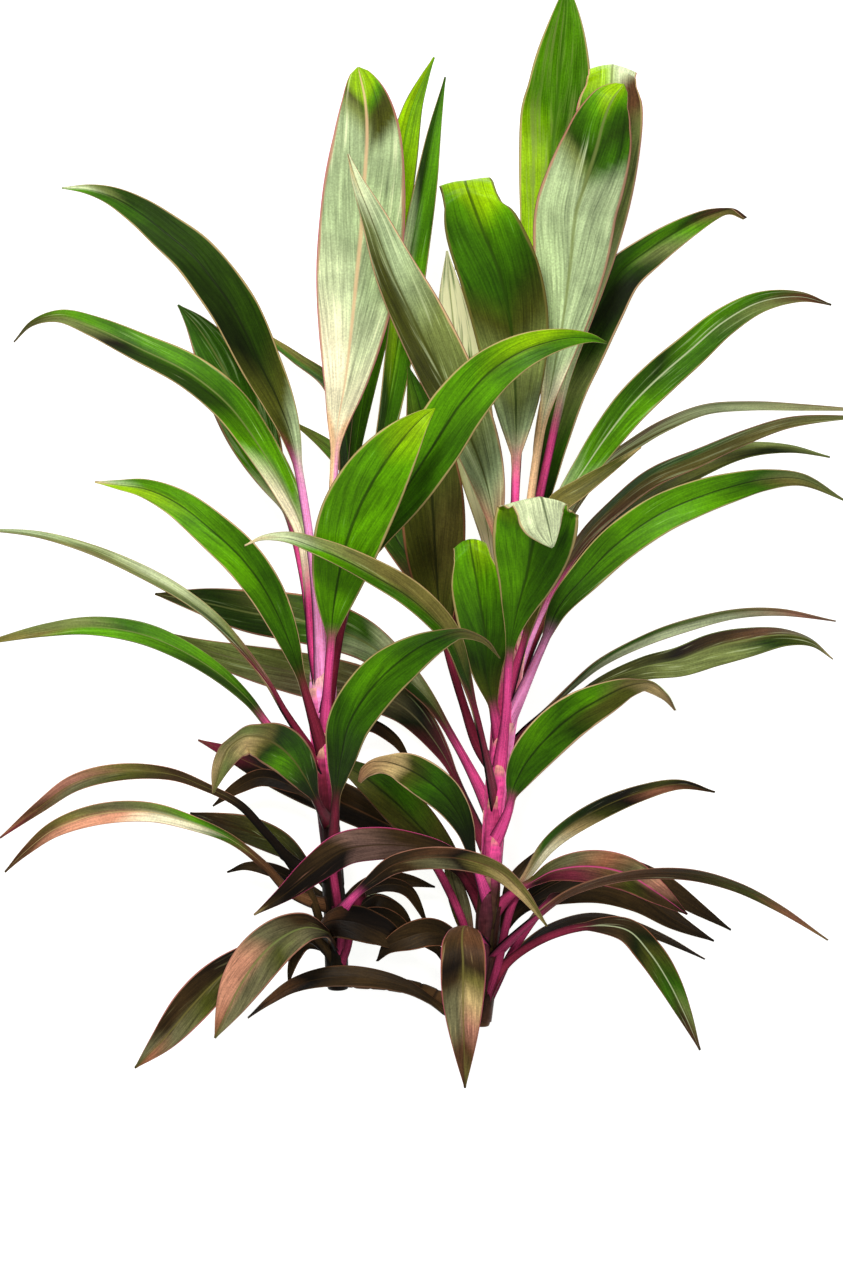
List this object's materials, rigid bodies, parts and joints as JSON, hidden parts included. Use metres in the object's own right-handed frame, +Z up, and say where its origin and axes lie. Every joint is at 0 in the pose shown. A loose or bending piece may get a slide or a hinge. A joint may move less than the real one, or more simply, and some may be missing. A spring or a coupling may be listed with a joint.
{
  "type": "ti plant",
  "caption": "Cut clump of a ti plant lying on its back: canes on a short rootstock with long strap leaves, green and cream above, bronze below, on pink stalks",
  "frame": {"origin": "on the surface, under the middle of the whole clump", "axes": "+Y along the canes towards the leaf tips, +X to the right seen from above with the tips away, +Z up from the surface"},
  "size_m": [0.9145, 1.1143, 0.294],
  "materials": {
    "leaf_green": "satin green blade with cream edge, pink stalk",
    "leaf_dark": "satin dark green blade with thin pale edge, maroon stalk",
    "leaf_bronze": "satin bronze blade with salmon pink edge, maroon stalk",
    "cane_bark": "smooth magenta cane with pale leaf scars",
    "root_bark": "matt brown woody root"
  },
  "bodies": {
    "root": {"cane_right": "cane_bark", "cane_left": "cane_bark", "rootstock": "root_bark", "leaf_right_top_spear": "leaf_green", "leaf_right_top_broad": "leaf_green", "leaf_right_top_curled": "leaf_green", "leaf_right_dark_arm": "leaf_green", "leaf_right_shield": "leaf_green", "leaf_right_striped": "leaf_green", "leaf_right_silver": "leaf_green", "leaf_right_hanging_middle": "leaf_green", "leaf_right_high_arm": "leaf_green", "leaf_right_thin_high": "leaf_green", "leaf_right_olive_short": "leaf_green", "leaf_right_thin_pink_stalk": "leaf_green", "leaf_right_shadow_arm": "leaf_dark", "leaf_right_broad_arm": "leaf_green", "leaf_right_folded_front": "leaf_green", "leaf_right_small_lime": "leaf_green", "leaf_right_crossing": "leaf_green", "leaf_right_tan_tip": "leaf_green", "leaf_right_thin_middle": "leaf_green", "leaf_right_twisted_middle": "leaf_dark", "leaf_right_low_green": "leaf_dark", "leaf_right_bronze_arch": "leaf_bronze", "leaf_right_low_dark": "leaf_dark", "leaf_right_low_resting": "leaf_dark", "leaf_right_long_whip": "leaf_bronze", "leaf_right_low_whip": "leaf_dark", "leaf_right_drooping": "leaf_bronze", "leaf_right_hanging_front": "leaf_bronze", "leaf_right_lowest_left": "leaf_dark", "leaf_right_tan_flap": "leaf_green", "leaf_right_dark_sweep": "leaf_dark", "leaf_right_long_left": "leaf_green", "leaf_right_resting_left": "leaf_dark", "leaf_right_brown_left": "leaf_bronze", "leaf_right_bronze_over": "leaf_bronze", "leaf_right_low_short": "leaf_dark", "leaf_right_behind_middle": "leaf_dark", "leaf_left_glossy_arm": "leaf_green", "leaf_left_second_arm": "leaf_green", "leaf_left_back_broad": "leaf_green", "leaf_left_behind_strip": "leaf_dark", "leaf_left_tall_pale": "leaf_green", "leaf_left_lime_spear": "leaf_green", "leaf_left_lime_narrow": "leaf_green", "leaf_left_front_lime": "leaf_green", "leaf_left_front_long": "leaf_green", "leaf_left_inner_curl": "leaf_green", "leaf_left_lime_arm": "leaf_green", "leaf_left_thin_arm": "leaf_green", "leaf_left_green_arm": "leaf_green", "leaf_left_folded": "leaf_green", "leaf_left_red_tip": "leaf_bronze", "leaf_left_brown_tip": "leaf_bronze", "leaf_left_dark_low": "leaf_dark", "leaf_left_olive_right": "leaf_green", "leaf_left_salmon_edge": "leaf_bronze", "leaf_left_lowest": "leaf_bronze"}
  },
  "joints": []
}
